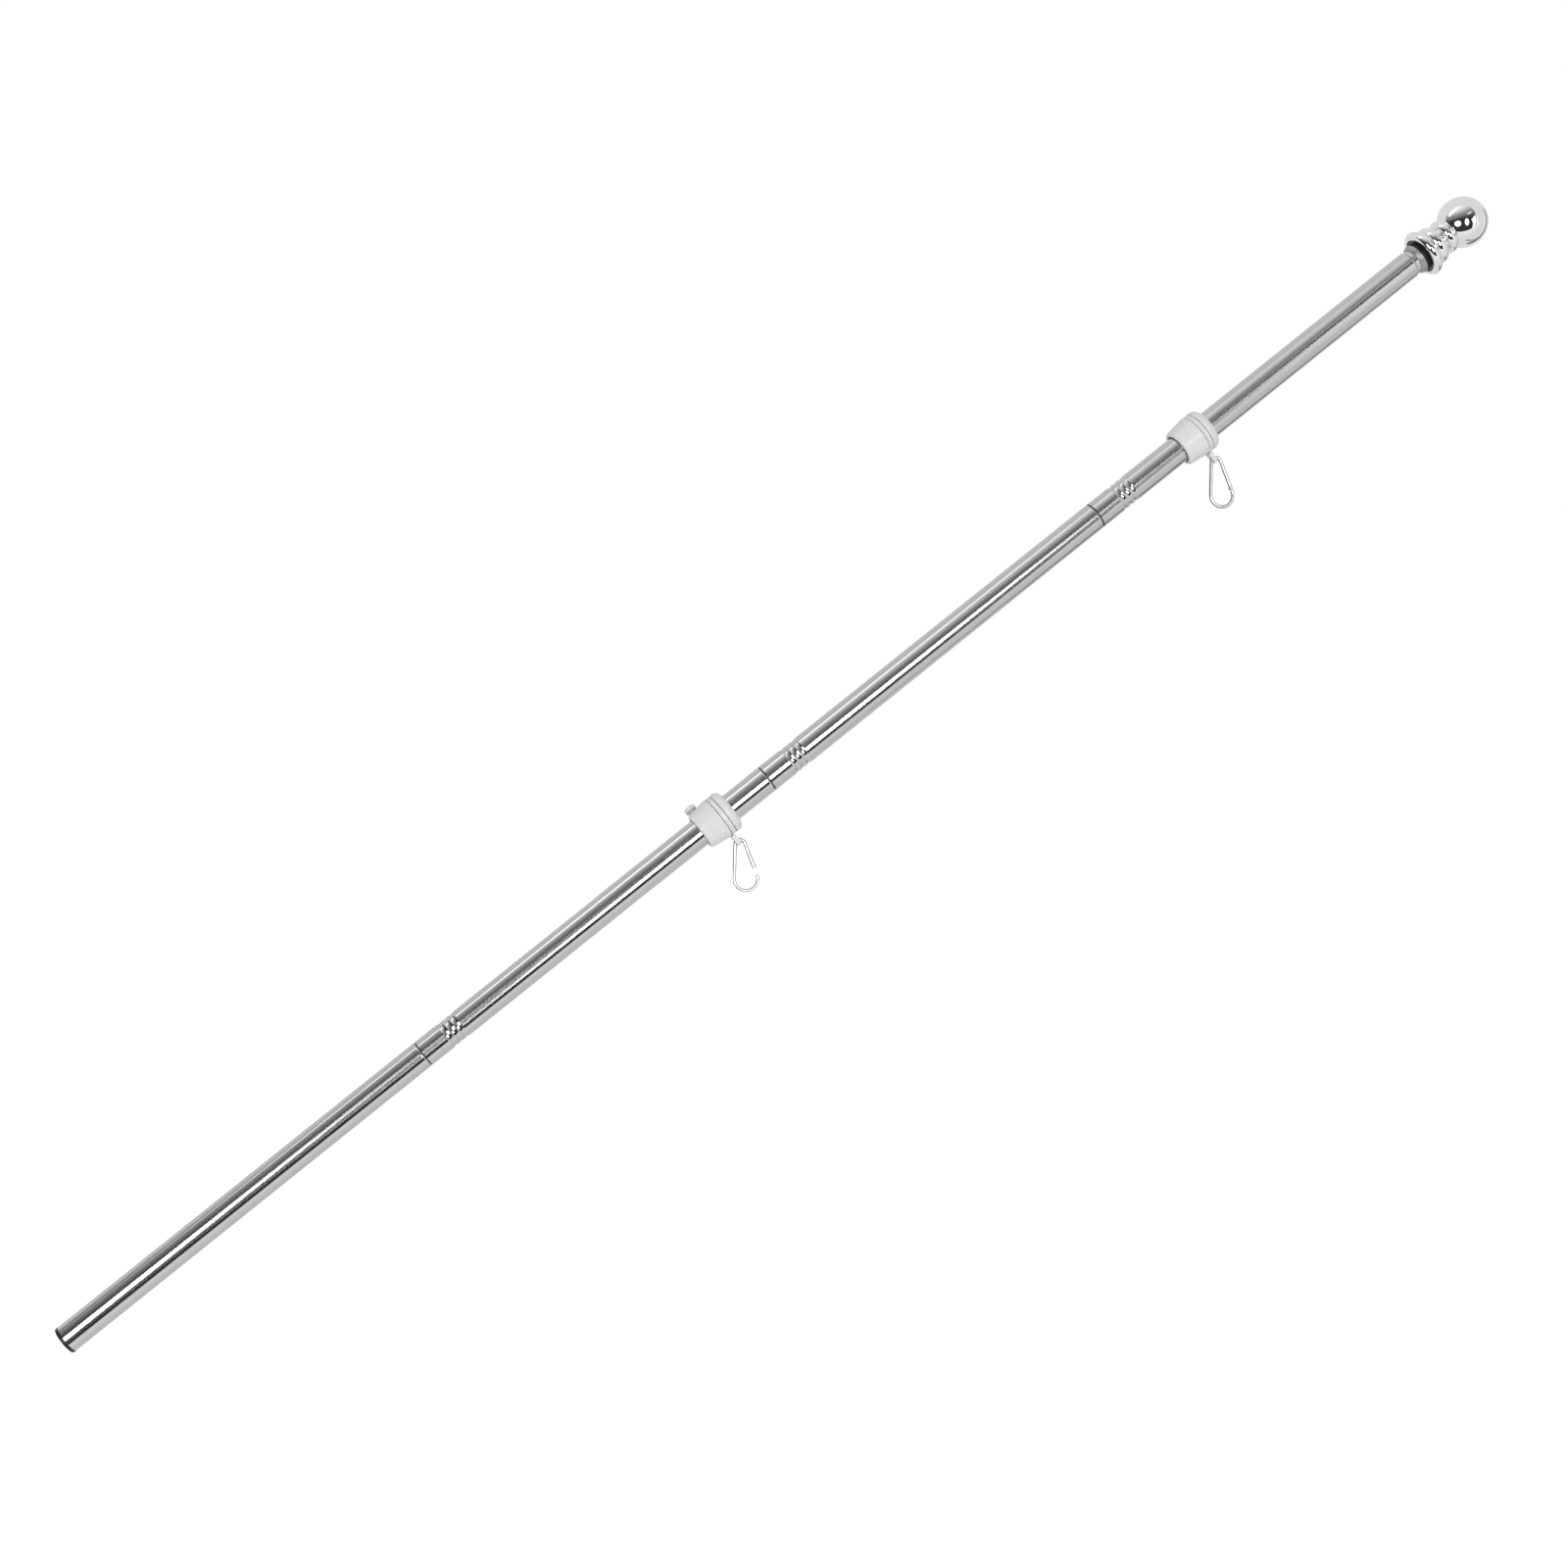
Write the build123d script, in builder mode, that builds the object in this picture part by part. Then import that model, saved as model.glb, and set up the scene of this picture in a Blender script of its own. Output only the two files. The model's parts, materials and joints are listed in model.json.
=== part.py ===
# A sectional flagpole: four polished tubes, a ball finial and two turning flag collars with wire clips.
# It leans at the angle at which it is held, with the origin at the centre of the foot's flat face.
import os
from math import asin, cos, degrees, radians, sin, sqrt

from build123d import *

os.makedirs("parts", exist_ok=True)

# Pole: leaning in the XZ plane, +X towards the finial
pole_elevation = 28.5
tube_diameter = 25.4
tube_wall = 0.8
section_length = 381.0
edge_round = 0.5

# Male end of each tube, which goes into the tube above, and the rounded shoulder below it
shoulder_round = 2.5
spigot_length = 24.0
spigot_clearance = 0.1
spigot_lead = 0.6
swage_rise = 2.0

# Rolled rings near the foot of each tube above the lowest
ring_count = 3
first_ring_height = 26.5
ring_pitch = 5.85
ring_width = 5.6
ring_depth = 0.7

# Foot plug
plug_flange = 3.0
plug_depth = 22.0
plug_clearance = 0.1
plug_wall = 2.0
plug_round = 1.0

# Finial, measured up from the rim of its skirt
finial_gap = 13.0
finial_wall = 1.4
skirt_gap = 3.7
skirt_lip = 1.2
skirt_ring_bulge = 4.2
skirt_ring_height = 8.6
skirt_step = 1.4
shoulder_ring_bulge = 3.6
shoulder_ring_height = 11.4
neck_diameter = 24.0
neck_length = 2.8
neck_bead_bulge = 4.6
neck_bead_height = 9.4
ball_seat_step = 1.5
ball_diameter = 46.6

# Domed ferrule between the top tube and the finial
ferrule_foot_height = 4.0
ferrule_foot_inset = 0.5
ferrule_flare = 2.0
ferrule_length = 4.5
ferrule_bulge = 0.45
ferrule_clearance = 0.1

# Dark bush inside the finial's skirt, with a neck down to the ferrule
bush_recess = 1.0
bush_clearance = 0.1
bush_wall = 1.6
bush_roof = 3.0

# Flag collars: body, cap and the ring that turns between them
lower_collar_drop = 75.6
upper_collar_rise = 99.0
cap_wall = 3.85
collar_foot_taper = 2.2
collar_body_length = 20.8
collar_foot_round = 2.5
collar_edge_round = 0.8
collar_bore_clearance = 0.35
collar_mouth_step = 1.15
collar_mouth_depth = 3.0
hub_wall = 2.8
cap_length = 8.4
cap_round = 6.0
cap_top_wall = 2.4
cap_clearance = 0.1
swivel_thickness = 4.3
swivel_inset = 0.4
swivel_end_clearance = 0.45
swivel_bore_clearance = 0.3
swivel_round = 0.5

# Tab of the swivel ring, set off towards the foot, with the hole for the clip
tab_thickness = 4.2
tab_drop = 2.4
tab_clearance = 0.8
tab_reach = 7.0
tab_hole_diameter = 5.0
tab_tip_width = 8.0
tab_root_width = 12.0
tab_round = 0.6

# Thumb screw of each collar, turned round the pole from the tab
lower_screw_turn = 155.0
upper_screw_turn = 90.0
screw_height = 6.6
screw_diameter = 5.0
screw_tip_clearance = 0.35
knob_diameter = 11.0
knob_thickness = 3.8
knob_gap = 0.6
knob_round = 0.7
knob_grip_count = 12
knob_grip_diameter = 1.6

# Wire clip: a pear of two end bends joined by straight wire
wire_diameter = 3.0
small_bend_radius = 4.4
large_bend_radius = 10.4
bend_spacing = 30.3
clip_seat = 0.3
nose_length = 4.8
nose_tongue_length = 2.0
nose_tongue_width = 2.4
gate_gap = 0.4
gate_diameter = 3.2
hinge_rise = 3.6
hinge_reach = 2.6
tongue_thickness = 1.2
tongue_width = 2.8
fork_clearance = 0.2
fork_diameter = 3.8
fork_thickness = 3.6
fork_depth = 3.2
rivet_diameter = 1.4
rivet_clearance = 0.06
rivet_head_diameter = 2.6
rivet_head_height = 0.5
rivet_head_clearance = 0.1

# Cuts run this far past what they cut
overrun = 1.0

# Sizes that follow from the ones above
tube_radius = tube_diameter / 2
tube_bore = tube_radius - tube_wall
spigot_radius = tube_bore - spigot_clearance
spigot_bore = spigot_radius - tube_wall
shoulder_rise = sqrt(shoulder_round**2 - (shoulder_round - tube_radius + spigot_radius) ** 2)
ring_heights = [first_ring_height + ring_pitch * ring for ring in range(ring_count)]
top_of_tubes = 4 * section_length
finial_height = top_of_tubes + finial_gap
lower_collar_height = 2 * section_length - lower_collar_drop
upper_collar_height = 3 * section_length + upper_collar_rise
collar_bore = tube_radius + collar_bore_clearance
collar_mouth = collar_bore + collar_mouth_step
hub_radius = collar_bore + hub_wall
collar_radius = hub_radius + cap_clearance + cap_wall
collar_foot_radius = collar_radius - collar_foot_taper
swivel_radius = collar_radius - swivel_inset
tab_hole_radius_out = swivel_radius + tab_reach
swivel_foot = collar_body_length + swivel_end_clearance
cap_foot = swivel_foot + swivel_thickness + swivel_end_clearance
cap_top = cap_foot + cap_length
hub_top = cap_top - cap_top_wall
tab_middle = swivel_thickness / 2 - tab_drop
clip_height = swivel_foot + tab_middle
knob_foot = collar_radius + knob_gap
clip_radius_out = tab_hole_radius_out - clip_seat + small_bend_radius
wire_radius = wire_diameter / 2
taper = asin((large_bend_radius - small_bend_radius) / bend_spacing)
side_length = bend_spacing * cos(taper)

# The pole's own frame: x points down and away from the pole, y across it, z along it
lean = radians(pole_elevation)
pole = Plane(origin=(0, 0, 0), x_dir=(sin(lean), 0, -cos(lean)), z_dir=(cos(lean), 0, sin(lean)))
pole_axis = Axis(pole.origin, pole.z_dir)


def pole_point(height):
    return pole.origin + pole.z_dir * height


def profile_at(height):
    return Plane(origin=pole_point(height), x_dir=pole.x_dir, z_dir=-pole.y_dir)


def across_at(height):
    return Plane(origin=pole_point(height), x_dir=pole.x_dir, z_dir=pole.z_dir)


def radial_at(height, turn):
    outward = pole.x_dir * cos(radians(turn)) + pole.y_dir * sin(radians(turn))
    return Plane(origin=pole_point(height), x_dir=pole.z_dir, z_dir=outward)


def clip_plane_at(height):
    bend_centre = pole_point(height + clip_height) + pole.x_dir * clip_radius_out
    return Plane(origin=bend_centre, x_dir=(1, 0, 0), z_dir=(0, -1, 0))


# Pieces drawn in a frame of their own are moved to their place
def write_piece(piece, label, place=Plane.XY):
    placed = piece.part.moved(place.location)
    placed.label = label
    export_step(placed, f"parts/{label}.step")


# One wall face of a tube, up or down, that dips at each rolled ring
def wall_line(radius, start, end, rings):
    reached = start
    half = ring_width / 2 if end > start else -ring_width / 2
    for ring in rings:
        Line((radius, reached), (radius, ring - half))
        ThreePointArc((radius, ring - half), (radius - ring_depth, ring), (radius, ring + half))
        reached = ring + half
    Line((radius, reached), (radius, end))


# Tube with a rounded foot, rolled rings, and a rounded shoulder below a narrower male end
def make_tube(label, start, end, rings):
    length = end - start
    with BuildPart() as tube:
        with BuildSketch(profile_at(start)):
            with BuildLine():
                Line((tube_bore, 0), (tube_radius - edge_round, 0))
                JernArc((tube_radius - edge_round, 0), (1, 0), edge_round, 90)
                wall_line(tube_radius, edge_round, length - shoulder_rise, rings)
                RadiusArc((tube_radius, length - shoulder_rise), (spigot_radius, length), -shoulder_round)
                Polyline(
                    (spigot_radius, length),
                    (spigot_radius, length + spigot_length - spigot_lead),
                    (spigot_radius - spigot_lead, length + spigot_length),
                    (spigot_bore, length + spigot_length),
                    (spigot_bore, length - swage_rise),
                    (tube_bore, length - 2 * swage_rise),
                )
                wall_line(tube_bore, length - 2 * swage_rise, 0, rings[::-1])
            make_face()
        revolve(axis=pole_axis)
    write_piece(tube, label)


# Foot plug: a flush flange with a hollow barrel inside the lowest tube
with BuildPart() as foot_plug:
    with BuildSketch(across_at(0)):
        Circle(tube_radius)
    extrude(amount=plug_flange)
    fillet(foot_plug.edges().group_by(Axis(pole.origin, pole.z_dir))[0], plug_round)
    with BuildSketch(across_at(plug_flange)):
        Circle(tube_bore - plug_clearance)
        Circle(tube_bore - plug_clearance - plug_wall, mode=Mode.SUBTRACT)
    extrude(amount=plug_depth)
write_piece(foot_plug, "foot_plug")

# Four tubes end to end
tube_names = ["lower_tube", "lower_middle_tube", "upper_middle_tube", "top_tube"]
for place, tube_name in enumerate(tube_names):
    tube_foot = section_length * place if place else plug_flange
    make_tube(tube_name, tube_foot, section_length * (place + 1), ring_heights if place else [])

# Finial: skirt ring, shoulder ring, neck bead and ball turned in one hollow shell
neck_radius = neck_diameter / 2
ball_radius = ball_diameter / 2
bush_socket = spigot_radius + bush_clearance
bush_radius = bush_socket + bush_wall
skirt_bore = bush_radius + skirt_gap
skirt_depth = skirt_ring_height - finial_wall
skirt_edge = skirt_bore + skirt_lip
skirt_ring_radius = skirt_edge + skirt_ring_bulge
shoulder_ring_foot = skirt_ring_height + skirt_step
shoulder_ring_middle = shoulder_ring_foot + shoulder_ring_height / 2
shoulder_ring_top = shoulder_ring_foot + shoulder_ring_height
shoulder_ring_radius = bush_radius + finial_wall + shoulder_ring_bulge
neck_bead_radius = neck_radius + neck_bead_bulge
neck_bead_foot = shoulder_ring_top + neck_length
neck_bead_top = neck_bead_foot + neck_bead_height
ball_seat_radius = neck_radius + ball_seat_step
ball_centre_height = neck_bead_top + sqrt(ball_radius**2 - ball_seat_radius**2)
ball_top = ball_centre_height + ball_radius
inner_ball_radius = ball_radius - finial_wall
inner_neck_radius = neck_radius - finial_wall
inner_ball_foot = ball_centre_height - sqrt(inner_ball_radius**2 - inner_neck_radius**2)
bush_top = shoulder_ring_top - bush_roof

with BuildPart() as finial:
    with BuildSketch(profile_at(finial_height)):
        with BuildLine():
            Line((skirt_bore, 0), (skirt_edge, 0))
            ThreePointArc(
                (skirt_edge, 0),
                (skirt_ring_radius, skirt_ring_height / 2),
                (skirt_edge, skirt_ring_height),
            )
            Polyline(
                (skirt_edge, skirt_ring_height),
                (bush_radius + finial_wall, skirt_ring_height),
                (bush_radius + finial_wall, shoulder_ring_foot),
            )
            ThreePointArc(
                (bush_radius + finial_wall, shoulder_ring_foot),
                (shoulder_ring_radius, shoulder_ring_middle),
                (neck_radius + finial_wall, shoulder_ring_top),
            )
            Polyline(
                (neck_radius + finial_wall, shoulder_ring_top),
                (neck_radius, shoulder_ring_top),
                (neck_radius, neck_bead_foot),
            )
            ThreePointArc(
                (neck_radius, neck_bead_foot),
                (neck_bead_radius, neck_bead_foot + neck_bead_height / 2),
                (ball_seat_radius, neck_bead_top),
            )
            ThreePointArc(
                (ball_seat_radius, neck_bead_top),
                (ball_radius, ball_centre_height),
                (0, ball_top),
            )
            Line((0, ball_top), (0, ball_top - finial_wall))
            ThreePointArc(
                (0, ball_top - finial_wall),
                (inner_ball_radius, ball_centre_height),
                (inner_neck_radius, inner_ball_foot),
            )
            Polyline(
                (inner_neck_radius, inner_ball_foot),
                (inner_neck_radius, bush_top),
                (bush_radius, bush_top),
                (bush_radius, skirt_depth),
                (skirt_bore, skirt_depth),
                (skirt_bore, 0),
            )
        make_face()
    revolve(axis=pole_axis)
write_piece(finial, "finial")

# Ferrule: a domed ring on the top tube's male end
ferrule_foot_radius = tube_radius - ferrule_foot_inset
ferrule_radius = tube_radius + ferrule_flare
ferrule_top = ferrule_foot_height + ferrule_length
ferrule_bore = spigot_radius + ferrule_clearance
with BuildPart() as finial_ferrule:
    with BuildSketch(profile_at(top_of_tubes)):
        with BuildLine():
            Line((ferrule_bore, ferrule_foot_height), (ferrule_foot_radius, ferrule_foot_height))
            SagittaArc(
                (ferrule_foot_radius, ferrule_foot_height), (ferrule_radius, ferrule_top), -ferrule_bulge
            )
            Polyline(
                (ferrule_radius, ferrule_top),
                (ferrule_bore, ferrule_top),
                (ferrule_bore, ferrule_foot_height),
            )
        make_face()
    revolve(axis=pole_axis)
write_piece(finial_ferrule, "finial_ferrule")

# Bush: a flange that fills the skirt, with a neck and a socket for the top tube's male end
socket_depth = spigot_length - finial_gap
bush_foot = ferrule_top + ferrule_clearance - finial_gap
with BuildPart() as finial_bush:
    with BuildSketch(profile_at(finial_height)):
        with BuildLine():
            Polyline(
                (bush_socket, bush_foot),
                (bush_radius, bush_foot),
                (bush_radius, bush_recess),
                (skirt_bore - bush_clearance, bush_recess),
                (skirt_bore - bush_clearance, skirt_depth),
                (bush_radius - bush_clearance, skirt_depth),
                (bush_radius - bush_clearance, bush_top),
                (0, bush_top),
                (0, socket_depth),
                (bush_socket, socket_depth),
                (bush_socket, bush_foot),
            )
        make_face()
    revolve(axis=pole_axis)
write_piece(finial_bush, "finial_bush")


# Collar body: a drum with a rounded foot, a wide mouth, and a hub for the ring and the cap
def make_collar_body(label, height, screw_turn):
    with BuildPart() as body:
        with BuildSketch(profile_at(height)):
            with BuildLine():
                Line((collar_mouth, 0), (collar_foot_radius - collar_foot_round, 0))
                JernArc(
                    (collar_foot_radius - collar_foot_round, 0), (1, 0), collar_foot_round, 90
                )
                Line(
                    (collar_foot_radius, collar_foot_round),
                    (collar_radius, collar_body_length - collar_edge_round),
                )
                JernArc(
                    (collar_radius, collar_body_length - collar_edge_round),
                    (0, 1),
                    collar_edge_round,
                    90,
                )
                Polyline(
                    (collar_radius - collar_edge_round, collar_body_length),
                    (hub_radius, collar_body_length),
                    (hub_radius, hub_top),
                    (collar_bore, hub_top),
                    (collar_bore, collar_mouth_depth),
                    (collar_mouth, collar_mouth_depth),
                    (collar_mouth, 0),
                )
            make_face()
        revolve(axis=pole_axis)
        with BuildSketch(radial_at(height + screw_height, screw_turn)):
            Circle(screw_diameter / 2)
        extrude(amount=collar_radius + overrun, mode=Mode.SUBTRACT)
    write_piece(body, label)


# Collar cap: a rounded cup that closes the hub and keeps the ring on it
def make_collar_cap(label, height):
    with BuildPart() as cap:
        with BuildSketch(profile_at(height)):
            with BuildLine():
                Line((hub_radius + cap_clearance, cap_foot), (collar_radius - collar_edge_round, cap_foot))
                JernArc(
                    (collar_radius - collar_edge_round, cap_foot), (1, 0), collar_edge_round, 90
                )
                Line(
                    (collar_radius, cap_foot + collar_edge_round),
                    (collar_radius, cap_top - cap_round),
                )
                JernArc((collar_radius, cap_top - cap_round), (0, 1), cap_round, 90)
                Polyline(
                    (collar_radius - cap_round, cap_top),
                    (collar_bore, cap_top),
                    (collar_bore, hub_top),
                    (hub_radius + cap_clearance, hub_top),
                    (hub_radius + cap_clearance, cap_foot),
                )
            make_face()
        revolve(axis=pole_axis)
    write_piece(cap, label)


# Swivel ring: a flat ring with a tapered tab that clears the body, and a hole for the clip
def make_swivel_ring(label, height):
    rounding = swivel_radius - swivel_round
    tip_radius = tab_tip_width / 2
    with BuildPart() as ring:
        with BuildSketch(Plane.XY.offset(tab_middle - tab_thickness / 2)):
            with BuildLine():
                Polyline(
                    (hub_radius, tab_root_width / 2),
                    (hub_radius, -tab_root_width / 2),
                    (tab_hole_radius_out, -tip_radius),
                )
                ThreePointArc(
                    (tab_hole_radius_out, -tip_radius),
                    (tab_hole_radius_out + tip_radius, 0),
                    (tab_hole_radius_out, tip_radius),
                )
                Line((tab_hole_radius_out, tip_radius), (hub_radius, tab_root_width / 2))
            make_face()
        extrude(amount=tab_thickness)
        fillet(ring.edges().filter_by(Axis.Z, reverse=True), tab_round)
        with BuildSketch():
            Circle(collar_radius + tab_clearance)
        extrude(amount=-tab_thickness, mode=Mode.SUBTRACT)
        with BuildSketch(Plane.XZ):
            with BuildLine():
                Polyline((rounding, 0), (0, 0), (0, swivel_thickness), (rounding, swivel_thickness))
                JernArc((rounding, swivel_thickness), (1, 0), swivel_round, -90)
                Line((swivel_radius, swivel_thickness - swivel_round), (swivel_radius, swivel_round))
                JernArc((swivel_radius, swivel_round), (0, -1), swivel_round, -90)
            make_face()
        revolve(axis=Axis.Z)
        with BuildSketch():
            Circle(hub_radius + swivel_bore_clearance)
        extrude(amount=swivel_thickness, mode=Mode.SUBTRACT)
        with BuildSketch(Plane.XY.offset(tab_middle)):
            with Locations((tab_hole_radius_out, 0)):
                Circle(tab_hole_diameter / 2)
        extrude(amount=tab_thickness, both=True, mode=Mode.SUBTRACT)
    write_piece(ring, label, across_at(height + swivel_foot))


# Thumb screw: a round gripped knob on a shank through the collar's wall
def make_thumb_screw(label, height, screw_turn):
    shank_start = tube_radius + screw_tip_clearance
    with BuildPart() as screw:
        with BuildSketch(Plane.XY.offset(shank_start)):
            Circle(screw_diameter / 2)
        extrude(amount=knob_foot - shank_start)
        with BuildSketch(Plane.XY.offset(knob_foot)):
            Circle(knob_diameter / 2)
        knob = extrude(amount=knob_thickness)
        fillet(knob.edges().filter_by(GeomType.CIRCLE).sort_by(SortBy.RADIUS)[-2:], knob_round)
        with BuildSketch(Plane.XY.offset(knob_foot)):
            with PolarLocations(knob_diameter / 2 + knob_grip_diameter / 4, knob_grip_count):
                Circle(knob_grip_diameter / 2)
        extrude(amount=knob_thickness, mode=Mode.SUBTRACT)
    write_piece(screw, label, radial_at(height + screw_height, screw_turn))


# Places on the clip, from the centre of its small bend, x towards the gate and y up
def clip_side(side, distance):
    start_x = small_bend_radius * cos(taper)
    start_y = small_bend_radius * sin(taper)
    return (side * (start_x + distance * sin(taper)), start_y - distance * cos(taper))


hinge_distance = side_length - hinge_rise
gate_start = nose_length + gate_gap
hinge_place = clip_side(1, hinge_distance)


# Clip hook: bent wire from a flat-tongued nose round both bends to a flat hinge tongue
def make_hook(label, height):
    clip = clip_plane_at(height)
    nose_end = clip_side(1, nose_length)
    with BuildPart() as hook:
        with BuildLine(clip) as wire:
            Line(nose_end, clip_side(1, 0))
            ThreePointArc(clip_side(1, 0), (0, small_bend_radius), clip_side(-1, 0))
            Line(clip_side(-1, 0), clip_side(-1, side_length))
            ThreePointArc(
                clip_side(-1, side_length),
                (0, -bend_spacing - large_bend_radius),
                clip_side(1, side_length),
            )
            Line(clip_side(1, side_length), clip_side(1, hinge_distance + hinge_reach))
        with BuildSketch(Plane(origin=wire.line @ 0, z_dir=wire.line % 0)):
            Circle(wire_radius)
        sweep(path=wire.line)
        with BuildSketch(clip.offset(-tongue_thickness / 2)):
            with BuildLine():
                Line(clip_side(1, 0), clip_side(1, nose_length + nose_tongue_length))
            trace(line_width=nose_tongue_width)
        extrude(amount=tongue_thickness)
        with BuildSketch(clip.offset(-tongue_thickness / 2)):
            with Locations(hinge_place):
                Circle(tongue_width / 2)
            with BuildLine():
                Line(hinge_place, clip_side(1, side_length))
            trace(line_width=tongue_width)
            with Locations(hinge_place):
                Circle(rivet_diameter / 2, mode=Mode.SUBTRACT)
        extrude(amount=tongue_thickness)
    write_piece(hook, label)


# Clip gate: a straight bar, forked round the hinge tongue and slotted for the nose
def make_gate(label, height):
    clip = clip_plane_at(height)
    along = clip.x_dir * sin(taper) - clip.y_dir * cos(taper)
    start_x, start_y = clip_side(1, gate_start)
    bar_start = clip.origin + clip.x_dir * start_x + clip.y_dir * start_y
    slot_width = tongue_thickness + 2 * fork_clearance
    with BuildPart() as gate:
        with BuildSketch(Plane(origin=bar_start, z_dir=along)):
            Circle(gate_diameter / 2)
        extrude(amount=hinge_distance - gate_start)
        with BuildSketch(clip.offset(-fork_thickness / 2)):
            with Locations(hinge_place):
                Circle(fork_diameter / 2)
        extrude(amount=fork_thickness)
        with BuildSketch(clip.offset(-slot_width / 2)):
            with Locations(Location(hinge_place, -90 + degrees(taper))):
                Rectangle(2 * fork_depth, fork_diameter + overrun)
            with Locations(Location(clip_side(1, gate_start), -90 + degrees(taper))):
                Rectangle(2 * nose_tongue_length, fork_diameter + overrun)
        extrude(amount=slot_width, mode=Mode.SUBTRACT)
        with BuildSketch(clip.offset(-fork_thickness / 2)):
            with Locations(hinge_place):
                Circle(rivet_diameter / 2 + rivet_clearance)
        extrude(amount=fork_thickness, mode=Mode.SUBTRACT)
    write_piece(gate, label)


# Gate rivet: a headed pin through the fork and the tongue
def make_rivet(label, height):
    clip = clip_plane_at(height)
    head_start = fork_thickness / 2 + rivet_head_clearance
    with BuildPart() as rivet:
        with BuildSketch(clip.offset(-head_start)):
            with Locations(hinge_place):
                Circle(rivet_diameter / 2)
        extrude(amount=2 * head_start)
        for head_foot in (head_start, -head_start - rivet_head_height):
            with BuildSketch(clip.offset(head_foot)):
                with Locations(hinge_place):
                    Circle(rivet_head_diameter / 2)
            extrude(amount=rivet_head_height)
    write_piece(rivet, label)


# Both collars with their clips
collars = [
    ("lower", lower_collar_height, lower_screw_turn),
    ("upper", upper_collar_height, upper_screw_turn),
]
for side_name, collar_height, screw_turn in collars:
    make_collar_body(f"{side_name}_collar_body", collar_height, screw_turn)
    make_collar_cap(f"{side_name}_collar_cap", collar_height)
    make_swivel_ring(f"{side_name}_swivel_ring", collar_height)
    make_thumb_screw(f"{side_name}_thumb_screw", collar_height, screw_turn)
    make_hook(f"{side_name}_carabiner_hook", collar_height)
    make_gate(f"{side_name}_carabiner_gate", collar_height)
    make_rivet(f"{side_name}_gate_rivet", collar_height)
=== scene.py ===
import json
import math

import bpy
from mathutils import Matrix, Vector


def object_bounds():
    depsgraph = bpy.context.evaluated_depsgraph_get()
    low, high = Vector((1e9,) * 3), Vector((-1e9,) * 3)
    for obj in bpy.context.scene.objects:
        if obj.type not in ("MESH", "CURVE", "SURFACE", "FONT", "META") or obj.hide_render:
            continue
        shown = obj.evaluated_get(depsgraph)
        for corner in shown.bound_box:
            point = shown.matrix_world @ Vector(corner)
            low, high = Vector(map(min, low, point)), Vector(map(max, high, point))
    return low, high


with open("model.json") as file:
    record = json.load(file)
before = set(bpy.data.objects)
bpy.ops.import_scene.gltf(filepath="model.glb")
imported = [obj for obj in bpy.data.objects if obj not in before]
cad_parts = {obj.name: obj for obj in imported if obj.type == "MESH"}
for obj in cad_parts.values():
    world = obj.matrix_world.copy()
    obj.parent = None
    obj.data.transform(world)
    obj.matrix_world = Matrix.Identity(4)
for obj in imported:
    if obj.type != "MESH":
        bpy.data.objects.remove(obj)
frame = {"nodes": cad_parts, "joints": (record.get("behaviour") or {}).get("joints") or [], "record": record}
cadLow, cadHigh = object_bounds()
nodes = frame["nodes"]
print("frame loaded:", len(nodes), "nodes")

# the pole's own directions, read from a joint
jointOf = {joint["name"]: joint for joint in frame["joints"]}
poleAlong = Vector(jointOf["lower_collar_slide"]["axis"]).normalized()
poleAcross = Vector((0, 1, 0))
poleDown = poleAcross.cross(poleAlong).normalized()  # the side where the tabs hang
poleLean = math.asin(poleAlong.z)

white = (1, 1, 1, 1)
noiseLow, noiseHigh = 0.3, 0.7  # most of a noise texture lies between these


def polePoint(height, out=0.0):
    return poleAlong * height + poleDown * out


def between(low, high, step, steps):
    return low + (high - low) * step / steps


def newMaterial(name):
    material = bpy.data.materials.new(name)
    material.use_nodes = True
    tree = material.node_tree
    return material, tree, tree.nodes["Principled BSDF"]


# values are the node's settings, or else its inputs
def addNode(tree, kind, **values):
    node = tree.nodes.new(kind)
    for key, value in values.items():
        if hasattr(node, key):
            setattr(node, key, value)
        else:
            node.inputs[key].default_value = value
    return node


def mathOf(tree, operation, *values):
    node = addNode(tree, "ShaderNodeMath", operation=operation)
    for socket, value in zip(node.inputs, values):
        if isinstance(value, bpy.types.NodeSocket):
            tree.links.new(value, socket)
        else:
            socket.default_value = value
    return node.outputs[0]


def noiseOf(tree, coords, scale, detail):
    noise = addNode(tree, "ShaderNodeTexNoise", Scale=scale, Detail=detail)
    tree.links.new(coords, noise.inputs["Vector"])
    return noise.outputs["Fac"]


def rangeOf(tree, value, low, high, fromLow=noiseLow, fromHigh=noiseHigh):
    spread = addNode(tree, "ShaderNodeMapRange")
    spread.inputs["From Min"].default_value = fromLow
    spread.inputs["From Max"].default_value = fromHigh
    spread.inputs["To Min"].default_value = low
    spread.inputs["To Max"].default_value = high
    tree.links.new(value, spread.inputs["Value"])
    return spread.outputs["Result"]


def rampOf(tree, value, stops):
    ramp = addNode(tree, "ShaderNodeValToRGB")
    for element, (place, color) in zip(ramp.color_ramp.elements, (stops[0], stops[-1])):
        element.position = place
        element.color = (*color, 1)
    for place, color in stops[1:-1]:
        ramp.color_ramp.elements.new(place).color = (*color, 1)
    tree.links.new(value, ramp.inputs["Fac"])
    return ramp.outputs["Color"]


def toneOf(tree, noise, look):
    return rampOf(tree, noise, [(noiseLow, look["dark"]), (noiseHigh, look["light"])])


def shadeOf(tree, color, keep):
    shade = addNode(tree, "ShaderNodeVectorMath", operation="SCALE")
    tree.links.new(color, shade.inputs[0])
    tree.links.new(keep, shade.inputs["Scale"])
    return shade.outputs["Vector"]


def setGloss(tree, shader, noise, look):
    gloss = rangeOf(tree, noise, look["smooth"], look["rough"])
    tree.links.new(gloss, shader.inputs["Roughness"])


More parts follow.
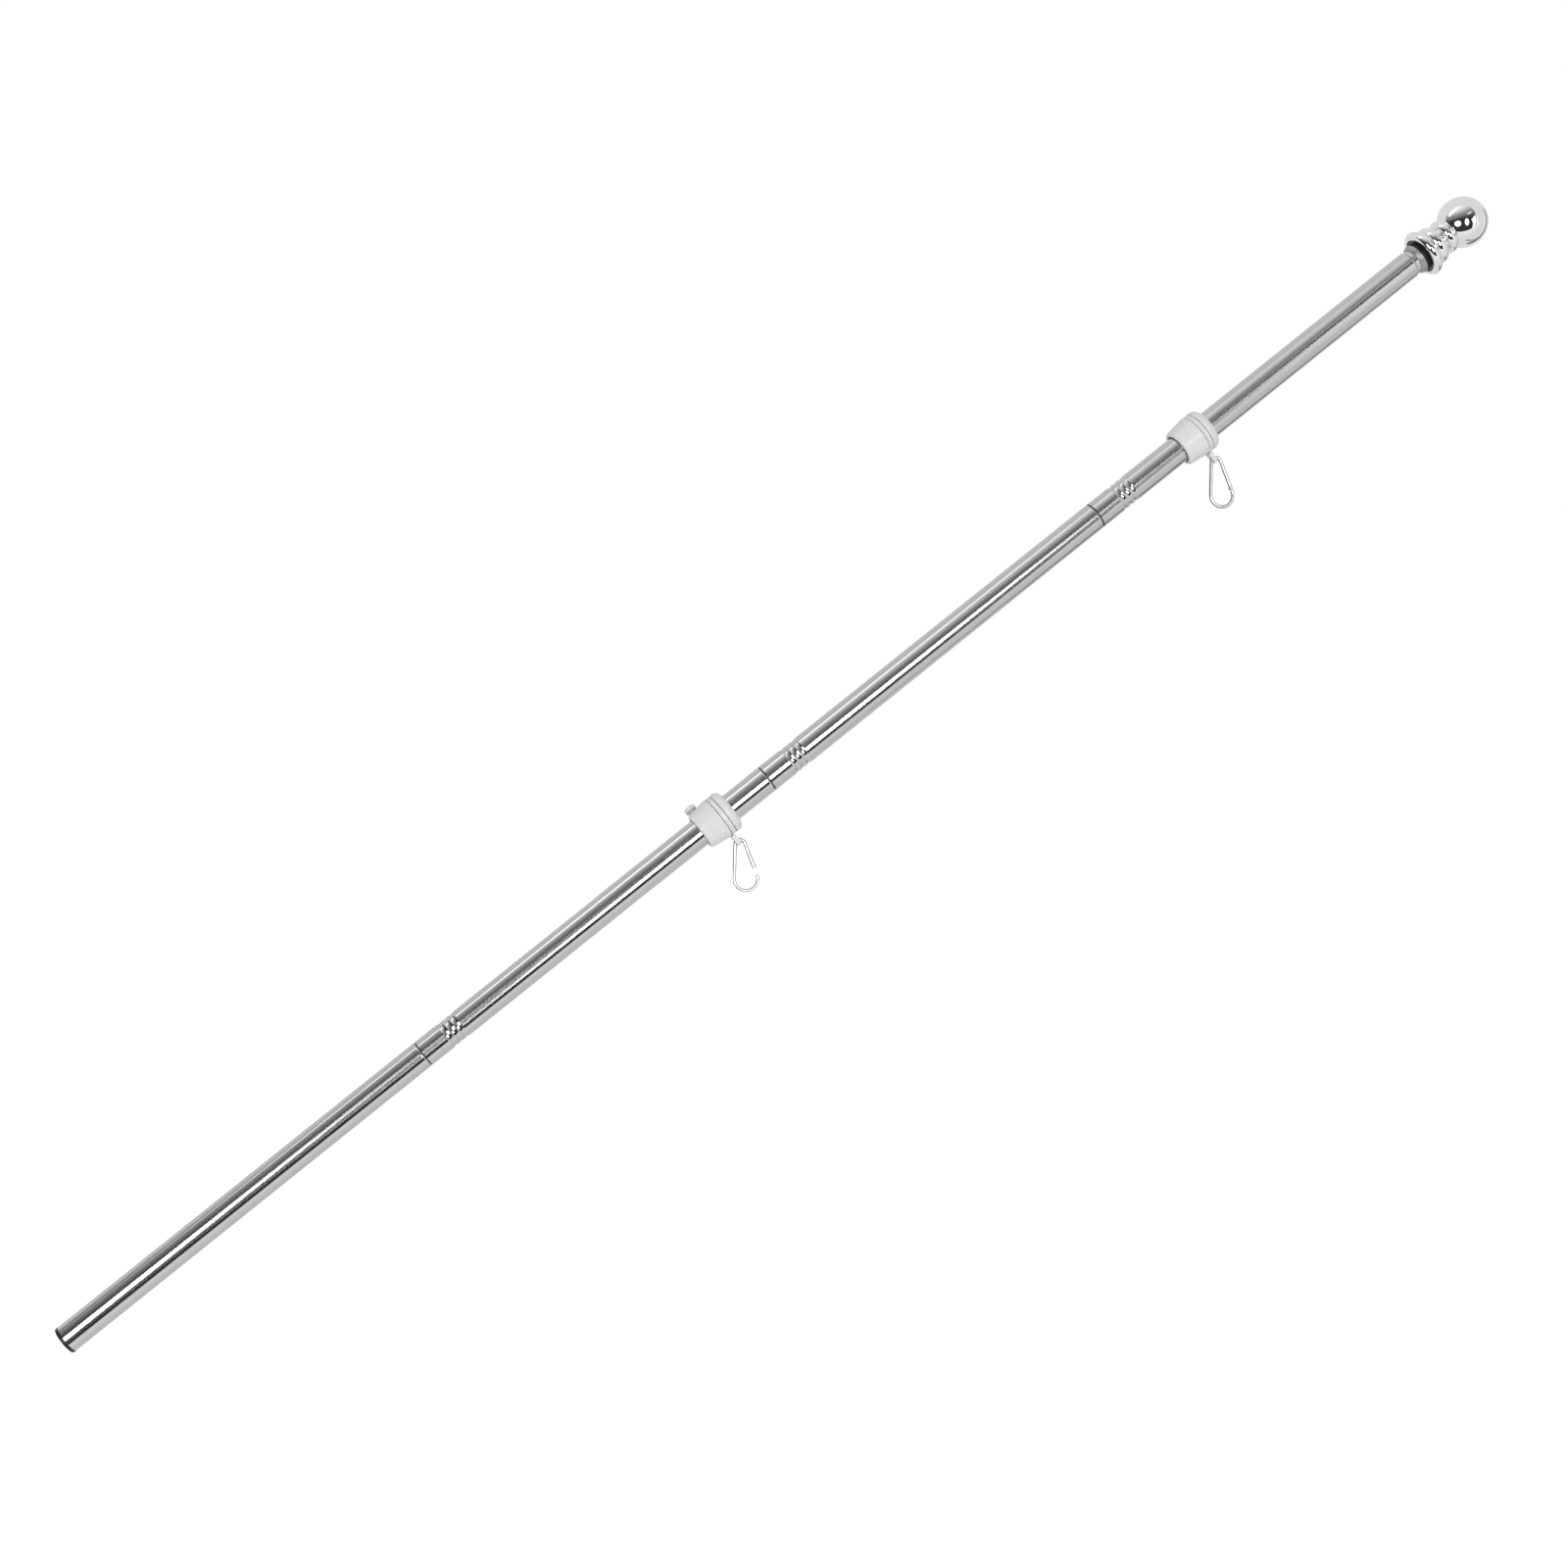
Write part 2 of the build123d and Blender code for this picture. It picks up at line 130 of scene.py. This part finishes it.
def setBump(tree, shader, noise, look):
    bump = addNode(tree, "ShaderNodeBump", Strength=look["bump"], Distance=look["bumpDistance"])
    tree.links.new(noise, bump.inputs["Height"])
    tree.links.new(bump.outputs["Normal"], shader.inputs["Normal"])


# object coordinates turned so that x runs along the pole
def poleCoords(tree, scale=(1, 1, 1)):
    coords = addNode(tree, "ShaderNodeTexCoord")
    turn = addNode(tree, "ShaderNodeMapping", vector_type="POINT")
    turn.inputs["Rotation"].default_value = (0, poleLean, 0)
    stretch = addNode(tree, "ShaderNodeVectorMath", operation="MULTIPLY")
    stretch.inputs[1].default_value = scale
    tree.links.new(coords.outputs["Object"], turn.inputs["Vector"])
    tree.links.new(turn.outputs["Vector"], stretch.inputs[0])
    return stretch.outputs["Vector"]


# painted shade: a fine dark line where two tubes meet, one at every section's length
seamShadeLook = {"spacing": 0.381, "below": 1.4, "core": 0.0003, "edge": 0.0009, "keep": 0.15}


def paintSeamShade(tree, color):
    look = seamShadeLook
    split = addNode(tree, "ShaderNodeSeparateXYZ")
    tree.links.new(poleCoords(tree), split.inputs["Vector"])
    height = split.outputs["X"]
    gap = mathOf(tree, "PINGPONG", height, look["spacing"] / 2)
    past = mathOf(tree, "GREATER_THAN", height, look["below"])  # no seam at the top end
    away = mathOf(tree, "MAXIMUM", gap, past)
    return shadeOf(tree, color, rangeOf(tree, away, look["keep"], 1.0, look["core"], look["edge"]))


steelLook = {"dark": (0.6, 0.605, 0.61), "light": (0.66, 0.66, 0.665),
             "drawScale": (1.5, 420, 420), "detail": 3.0,
             "smooth": 0.14, "rough": 0.165, "stretch": 1.0,
             "bump": 0.006, "bumpDistance": 0.0002, "paintedSeams": True}
satinLook = {"dark": (0.43, 0.43, 0.435), "light": (0.49, 0.49, 0.495),
             "drawScale": (60, 420, 420), "detail": 3.0,
             "smooth": 0.46, "rough": 0.56, "stretch": 0.3,
             "bump": 0.03, "bumpDistance": 0.0002, "paintedSeams": False}


def drawnSteel(name, look):
    material, tree, shader = newMaterial(name)
    lines = noiseOf(tree, poleCoords(tree, look["drawScale"]), 1.0, look["detail"])
    tone = toneOf(tree, lines, look)
    tree.links.new(paintSeamShade(tree, tone) if look["paintedSeams"] else tone, shader.inputs["Base Color"])
    setGloss(tree, shader, lines, look)
    setBump(tree, shader, lines, look)
    # polishing marks run round the tube and draw lights out along it
    along = addNode(tree, "ShaderNodeCombineXYZ", X=poleAlong.x, Y=poleAlong.y, Z=poleAlong.z)
    tree.links.new(along.outputs["Vector"], shader.inputs["Tangent"])
    shader.inputs["Anisotropic"].default_value = look["stretch"]
    shader.inputs["Metallic"].default_value = 1.0
    return material


chromeLook = {"dark": (0.88, 0.88, 0.885), "light": (0.94, 0.94, 0.945),
              "scale": 60.0, "detail": 4.0, "smooth": 0.015, "rough": 0.05}


def mirrorChrome():
    look = chromeLook
    material, tree, shader = newMaterial("mirrorChrome")
    coords = addNode(tree, "ShaderNodeTexCoord")
    haze = noiseOf(tree, coords.outputs["Object"], look["scale"], look["detail"])
    tree.links.new(toneOf(tree, haze, look), shader.inputs["Base Color"])
    setGloss(tree, shader, haze, look)
    shader.inputs["Metallic"].default_value = 1.0
    return material


# satin plating, with painted shade darkening the wire's sides while its front and back faces stay bright
nickelLook = {"dark": (0.84, 0.84, 0.835), "light": (0.9, 0.9, 0.895),
              "scale": 300.0, "detail": 4.0, "metal": 0.5, "gloss": 0.1,
              "smooth": 0.22, "rough": 0.32, "bump": 0.05, "bumpDistance": 0.0001,
              "sideShadeKeep": 0.2, "sideShadeFrom": 0.72, "sideShadeTo": 0.96}


def nickelWire():
    look = nickelLook
    material, tree, shader = newMaterial("nickelWire")
    coords = addNode(tree, "ShaderNodeTexCoord")
    grain = noiseOf(tree, coords.outputs["Object"], look["scale"], look["detail"])
    # painted shade: the more a side's normal turns away from Y, the darker its colour
    facing = addNode(tree, "ShaderNodeSeparateXYZ")
    tree.links.new(coords.outputs["Normal"], facing.inputs["Vector"])
    flat = mathOf(tree, "ABSOLUTE", facing.outputs["Y"])
    keep = rangeOf(tree, flat, look["sideShadeKeep"], 1.0, look["sideShadeFrom"], look["sideShadeTo"])
    tree.links.new(shadeOf(tree, toneOf(tree, grain, look), keep), shader.inputs["Base Color"])
    setGloss(tree, shader, grain, look)
    setBump(tree, shader, grain, look)
    shader.inputs["Metallic"].default_value = look["metal"]
    shader.inputs["Specular IOR Level"].default_value = look["gloss"]
    return material


whiteLook = {"dark": (0.63, 0.63, 0.635), "light": (0.645, 0.645, 0.65),
             "scale": 90.0, "detail": 3.0, "smooth": 0.3, "rough": 0.36,
             "grain": 2400.0, "grainDetail": 2.0, "bump": 0.02, "bumpDistance": 0.0002}
blackLook = {"dark": (0.008, 0.008, 0.009), "light": (0.02, 0.02, 0.021),
             "scale": 120.0, "detail": 3.0, "smooth": 0.3, "rough": 0.5,
             "grain": 900.0, "grainDetail": 2.0, "bump": 0.1, "bumpDistance": 0.0002}


# moulded plastic: cloudy tone, uneven gloss and a fine moulded grain
def mouldedPlastic(name, look):
    material, tree, shader = newMaterial(name)
    coords = addNode(tree, "ShaderNodeTexCoord").outputs["Object"]
    cloud = noiseOf(tree, coords, look["scale"], look["detail"])
    grain = noiseOf(tree, coords, look["grain"], look["grainDetail"])
    tree.links.new(toneOf(tree, cloud, look), shader.inputs["Base Color"])
    setGloss(tree, shader, cloud, look)
    setBump(tree, shader, grain, look)
    return material


finishes = {
    "polished_steel": drawnSteel("polishedSteel", steelLook),
    "chrome": mirrorChrome(),
    "nickel_wire": nickelWire(),
    "white_plastic": mouldedPlastic("whitePlastic", whiteLook),
    "black_plastic": mouldedPlastic("blackPlastic", blackLook),
}
for subpart in frame["record"]["subparts"]:
    nodes[subpart["node"]].data.materials.clear()
    nodes[subpart["node"]].data.materials.append(finishes[subpart["material_slot"]])
nodes["finial_ferrule"].data.materials[0] = drawnSteel("satinSteel", satinLook)
print("finishes given:", len(finishes) + 1)

# camera, rolled so that upright leans a little left, foot end nearer
cameraView = {"azimuth": -8.55, "roll": 9.946, "lens": 58.4, "sensor": 36.0,
              "distance": 2.238, "aimHeight": 0.7712, "aimOut": 0.013}


def makeCamera():
    view = cameraView
    turn, roll = math.radians(view["azimuth"]), math.radians(view["roll"])
    back = Vector((math.sin(turn), -math.cos(turn), 0))
    right = Vector((math.cos(turn), math.sin(turn), 0))
    up = Vector((0, 0, 1))
    cameraX = right * math.cos(roll) - up * math.sin(roll)
    cameraY = right * math.sin(roll) + up * math.cos(roll)
    turned = Matrix((cameraX, cameraY, back)).transposed().to_4x4()
    place = polePoint(view["aimHeight"], view["aimOut"]) + back * view["distance"]
    camera = bpy.data.objects.new("camera", bpy.data.cameras.new("camera"))
    camera.data.lens = view["lens"]
    camera.data.sensor_width = view["sensor"]
    camera.matrix_world = Matrix.Translation(place) @ turned
    bpy.context.scene.collection.objects.link(camera)
    bpy.context.scene.camera = camera
    return camera, back, right, up


camera, viewBack, viewRight, viewUp = makeCamera()
studioCentre = polePoint(cameraView["aimHeight"])
print("camera at", [round(x, 3) for x in camera.location])


# studio: a point by its side, height and depth towards the camera, from the pole's middle
def studioPoint(side, height, near):
    return studioCentre + viewRight * side + viewUp * height + viewBack * near


def glowMaterial(name, strength):
    material = bpy.data.materials.new(name)
    material.use_nodes = True
    material.cycles.emission_sampling = "NONE"  # cards are only mirrored
    tree = material.node_tree
    tree.nodes.clear()
    glow = addNode(tree, "ShaderNodeEmission", Color=white, Strength=strength)
    output = addNode(tree, "ShaderNodeOutputMaterial")
    tree.links.new(glow.outputs["Emission"], output.inputs["Surface"])
    return material, tree, glow


def addStage(name, points, faces, material):
    mesh = bpy.data.meshes.new(name)
    mesh.from_pydata([tuple(p) for p in points], [], faces)
    mesh.materials.append(material)
    piece = bpy.data.objects.new(name, mesh)
    bpy.context.scene.collection.objects.link(piece)
    return piece


# cards only the polished metal sees
def onlyReflected(piece):
    piece.visible_camera = False
    piece.visible_diffuse = False
    piece.visible_shadow = False
    piece.visible_transmission = False
    piece.visible_volume_scatter = False


# one for what is seen, mirrored or seen through, and nought for soft light
def seenOutright(tree):
    path = addNode(tree, "ShaderNodeLightPath").outputs
    seen = mathOf(tree, "MAXIMUM", path["Is Camera Ray"], path["Is Glossy Ray"])
    return mathOf(tree, "MAXIMUM", seen, path["Is Transmission Ray"])


# white background, with a plainer level for soft light
worldLook = {"white": 1.0, "soft": 0.8}


def makeWorld():
    look = worldLook
    world = bpy.data.worlds.new("studioWorld")
    bpy.context.scene.world = world
    world.use_nodes = True
    tree = world.node_tree
    tree.nodes.clear()
    sky = addNode(tree, "ShaderNodeBackground", Color=white)
    level = rangeOf(tree, seenOutright(tree), look["soft"], look["white"], 0.0, 1.0)
    tree.links.new(level, sky.inputs["Strength"])
    output = addNode(tree, "ShaderNodeOutputWorld")
    tree.links.new(sky.outputs["Background"], output.inputs["Surface"])


makeWorld()

# pale floor that keeps the soft shadow
floorLook = {"drop": 0.62, "reach": 30.0, "color": (0.86, 0.86, 0.86), "rough": 0.9, "lift": 0.72}


def makeFloor():
    look = floorLook
    material, tree, shader = newMaterial("paleFloor")
    shader.inputs["Base Color"].default_value = (*look["color"], 1)
    shader.inputs["Roughness"].default_value = look["rough"]
    shader.inputs["Specular IOR Level"].default_value = 0.0
    shader.inputs["Emission Color"].default_value = white
    lift = mathOf(tree, "MULTIPLY", seenOutright(tree), look["lift"])
    tree.links.new(lift, shader.inputs["Emission Strength"])
    low, reach = cadLow.z - look["drop"], look["reach"]
    corners = [(x * reach, y * reach, low) for x, y in ((-1, -1), (1, -1), (1, 1), (-1, 1))]
    floor = addStage("floor", corners, [(0, 1, 2, 3)], material)
    floor.visible_glossy = False  # the metal mirrors the grey paper instead


makeFloor()

# grey room, mirrored at the edges of the metal
roomLook = {"grey": 0.75, "reach": 6.0}


def makeRoom():
    look = roomLook
    reach = look["reach"]
    corners = [studioPoint(x * reach, z * reach, y * reach)
               for z in (-1, 1) for x, y in ((-1, -1), (1, -1), (1, 1), (-1, 1))]
    faces = [(0, 1, 2, 3), (4, 5, 6, 7), (0, 1, 5, 4), (1, 2, 6, 5), (2, 3, 7, 6), (3, 0, 4, 7)]
    material = glowMaterial("greyRoom", look["grey"])[0]
    onlyReflected(addStage("greyRoom", corners, faces, material))


makeRoom()


# a card of rows and columns, with a tone that changes from row to row
def makeToneCard(name, points, rows, columns, tones):
    material, tree, glow = glowMaterial(name, 1.0)
    width = columns + 1
    faces = []
    for row in range(rows):
        for column in range(columns):
            corner = row * width + column
            faces.append((corner, corner + 1, corner + 1 + width, corner + width))
    card = addStage(name, points, faces, material)
    rises = [row / rows for row in range(rows + 1) for column in range(width)]
    card.data.attributes.new("rise", "FLOAT", "POINT").data.foreach_set("value", rises)
    reader = addNode(tree, "ShaderNodeAttribute", attribute_name="rise")
    stops = [(place, (tone, tone, tone)) for place, tone in tones]
    tree.links.new(rampOf(tree, reader.outputs["Fac"], stops), glow.inputs["Color"])
    onlyReflected(card)


# dark wall behind the camera, paler towards the ceiling; tones go by degrees of rise
wallLook = {"radius": 3.0, "left": -96.0, "right": 62.0, "low": -60.0, "high": 62.0,
            "columns": 48, "rows": 40,
            "tones": [(-60, 0.03), (-28, 0.035), (-12, 0.04), (4, 0.03), (12, 0.03),
                      (20, 0.08), (27, 0.19), (33, 0.26), (39, 0.31), (45, 0.47),
                      (52, 0.66), (58, 0.78), (62, 0.8)]}


def makeWall():
    look = wallLook
    low, high, rows, columns = look["low"], look["high"], look["rows"], look["columns"]
    points = []
    for row in range(rows + 1):
        rise = math.radians(between(low, high, row, rows))
        for column in range(columns + 1):
            turn = math.radians(between(look["left"], look["right"], column, columns))
            spot = Vector((math.sin(turn) * math.cos(rise), math.sin(rise),
                           math.cos(turn) * math.cos(rise)))
            points.append(studioPoint(*(spot * look["radius"])))
    tones = [((rise - low) / (high - low), tone) for rise, tone in look["tones"]]
    makeToneCard("darkWall", points, rows, columns, tones)


makeWall()

# grey paper below the pole, up to its front edge
paperLook = {"drop": -0.92, "far": -5.0, "front": 0.81, "slant": 0.26, "side": 5.0, "rows": 30,
             "tones": [(0.0, 0.72), (0.82, 0.73), (0.9, 0.8), (0.95, 0.9), (1.0, 0.93)]}


def makePaper():
    look = paperLook
    points = []
    for row in range(look["rows"] + 1):
        for side in (-look["side"], look["side"]):
            front = look["front"] + look["slant"] * side
            near = between(look["far"], front, row, look["rows"])
            points.append(studioPoint(side, look["drop"], near))
    makeToneCard("greyPaper", points, look["rows"], 1, look["tones"])


makePaper()

# narrow bright strip overhead, dimmer at its ends
stripLook = {"height": 2.0, "near": 0.64, "width": 0.48, "left": -2.4, "right": 0.9, "rows": 30,
             "tones": [(0.0, 1.1), (0.25, 1.75), (0.4, 2.0), (0.6, 1.75), (0.8, 1.05), (1.0, 0.8)]}


def makeStrip():
    look = stripLook
    points = []
    for row in range(look["rows"] + 1):
        side = between(look["left"], look["right"], row, look["rows"])
        for edge in (-1, 1):
            near = look["near"] + edge * look["width"] / 2
            points.append(studioPoint(side, look["height"], near))
    makeToneCard("topStrip", points, look["rows"], 1, look["tones"])


makeStrip()


def makeCard(name, points, faces, tone):
    onlyReflected(addStage(name, points, faces, glowMaterial(name, tone)[0]))


# upright cards by the lamps, with corners as side and height
screenLook = {"near": 1.5, "tone": 1.15,
              "corners": [(1.72, -1.5), (1.74, -0.38), (1.46, 0.31),
                          (1.67, 0.44), (3.0, 1.32), (3.6, -1.5)]}
bandLook = {"near": 1.5, "tone": 0.8,
            "corners": [(1.05, 0.96), (1.35, 1.05), (1.8, 1.28),
                        (1.8, 1.56), (1.3, 1.28), (1.05, 1.1)]}


def makeScreen(name, look):
    points = [studioPoint(side, height, look["near"]) for side, height in look["corners"]]
    makeCard(name, points, [tuple(range(len(points)))], look["tone"])


makeScreen("paleScreen", screenLook)
makeScreen("paleBand", bandLook)

# darker patch on the paper below the finial, with corners as side and depth
patchLook = {"height": -0.91, "tone": 0.4,
             "corners": [(0.85, -0.15), (1.12, -0.33), (2.06, -0.92), (2.6, -1.25),
                         (2.7, -2.0), (2.14, -1.57), (1.1, -0.64), (0.8, -0.42)]}


def makePatch():
    look = patchLook
    points = [studioPoint(side, look["height"], near) for side, near in look["corners"]]
    makeCard("paperPatch", points, [tuple(range(len(points)))], look["tone"])


makePatch()

# dark bow behind the ball, mirrored as a thin arc inside its lower edge
bowLook = {"height": 1.56, "radius": 1.6, "inner": 49.0, "outer": 61.0,
           "from": -33.0, "to": 76.0, "steps": 24, "tone": 0.12}


def makeBow():
    look = bowLook
    centre = polePoint(look["height"])
    away = (centre - camera.location).normalized()
    pictureX = camera.matrix_world.col[0].to_3d()
    pictureY = camera.matrix_world.col[1].to_3d()
    points = []
    for step in range(look["steps"] + 1):
        turn = math.radians(between(look["from"], look["to"], step, look["steps"]))
        sideways = pictureX * math.cos(turn) - pictureY * math.sin(turn)
        for lean in (math.radians(look["inner"]), math.radians(look["outer"])):
            spread = away * math.cos(lean) + sideways * math.sin(lean)
            points.append(centre + spread * look["radius"])
    faces = [(k, k + 1, k + 3, k + 2) for k in range(0, 2 * look["steps"], 2)]
    makeCard("darkBow", points, faces, look["tone"])


makeBow()

# two round soft lamps beside the camera, each in a wider black frame
# the metal mirrors a brighter face in front of each
lampLook = {"lampLeft": {"spot": (-1.31, -0.25, 2.53), "width": 1.58, "height": 1.3,
                         "watts": 12.0, "glow": 6.0},
            "lampRight": {"spot": (0.9, -0.19, 2.53), "width": 0.76, "height": 1.4,
                          "watts": 20.0, "glow": 6.0}}
frameLook = {"wider": 0.3, "behind": 0.03, "sides": 48, "tone": 0.035}


def addLamp(name, look, place, watts):
    light = bpy.data.lights.new(name, "AREA")
    light.shape = "ELLIPSE"
    light.size = look["width"]
    light.size_y = look["height"]
    light.energy = watts
    lamp = bpy.data.objects.new(name, light)
    lamp.matrix_world = place
    lamp.visible_camera = False
    bpy.context.scene.collection.objects.link(lamp)
    return lamp


def makeLamps():
    behind, sides = frameLook["behind"], frameLook["sides"]
    dark = glowMaterial("lampFrame", frameLook["tone"])[0]
    for name, look in lampLook.items():
        spot = studioPoint(*look["spot"])
        aim = (studioCentre - spot).to_track_quat("-Z", "Y").to_matrix().to_4x4()
        place = Matrix.Translation(spot) @ aim
        addLamp(name, look, place, look["watts"]).visible_glossy = False
        front = place @ Matrix.Translation((0, 0, -behind))
        area = math.pi / 4 * look["width"] * look["height"]
        face = addLamp(name + "Face", look, front, look["glow"] * math.pi * area)
        face.visible_diffuse = False
        wide = (look["width"] + frameLook["wider"]) / 2
        tall = (look["height"] + frameLook["wider"]) / 2
        turns = [2 * math.pi * side / sides for side in range(sides)]
        rim = [place @ Vector((wide * math.cos(turn), tall * math.sin(turn), behind))
               for turn in turns]
        onlyReflected(addStage(name + "Frame", rim, [tuple(range(sides))], dark))


makeLamps()
print("studio set")

bpy.context.scene.view_settings.view_transform = "Standard"
